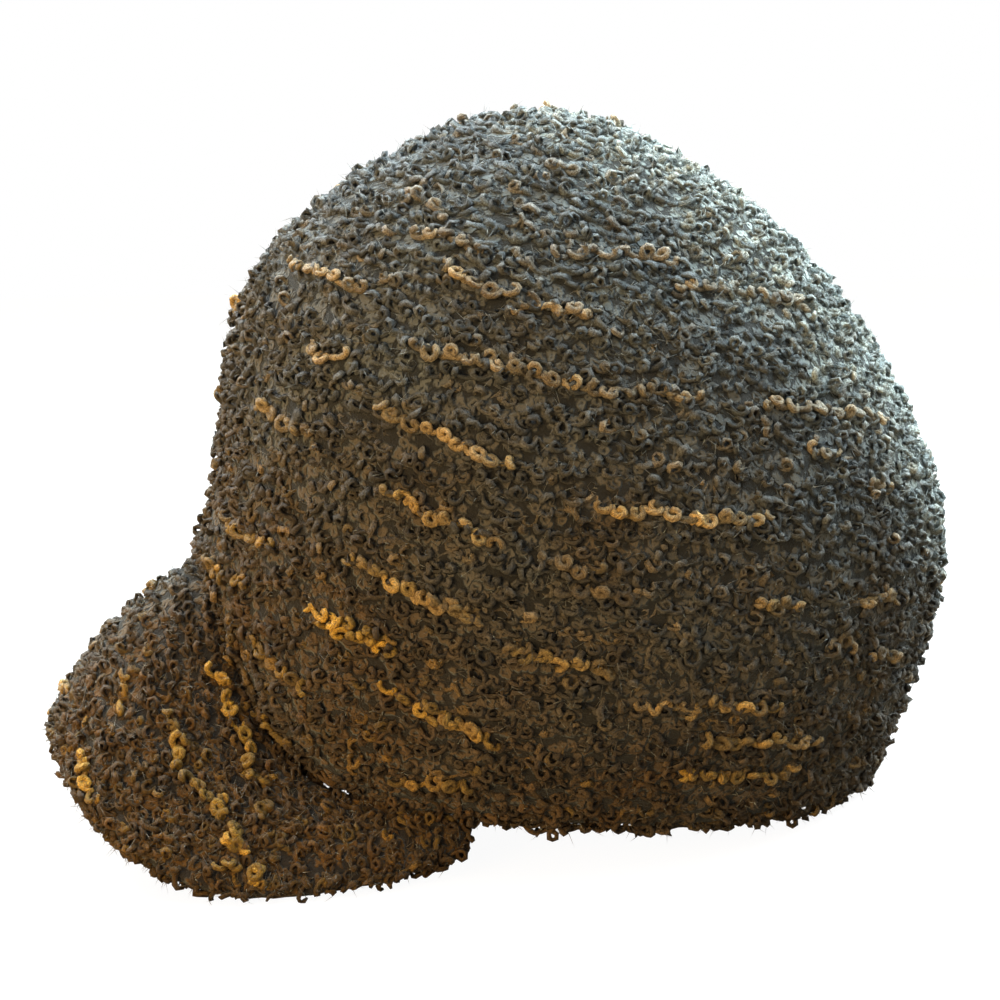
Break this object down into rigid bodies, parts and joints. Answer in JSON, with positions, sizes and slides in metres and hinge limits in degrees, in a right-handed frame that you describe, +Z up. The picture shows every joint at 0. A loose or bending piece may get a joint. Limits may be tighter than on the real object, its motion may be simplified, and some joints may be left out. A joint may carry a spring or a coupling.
{
  "type": "knitted peaked cap",
  "caption": "Soft thick looped-knit cap with a deep rounded crown and a short strongly arched peak, lying as it rests on a table.",
  "frame": {"origin": "centre of the cap's box in X and Y, on the floor that it rests on", "axes": "+Z up from the floor; the wearer's front, where the peak is, towards -Y; the wearer's left towards +X"},
  "size_m": [0.2068, 0.298, 0.2218],
  "materials": {
    "crown_knit": "thick looped charcoal and brown knit with golden flecks",
    "peak_knit": "thick looped brown knit with golden flecks"
  },
  "bodies": {
    "root": {"crown": "crown_knit", "peak": "peak_knit"}
  },
  "joints": []
}
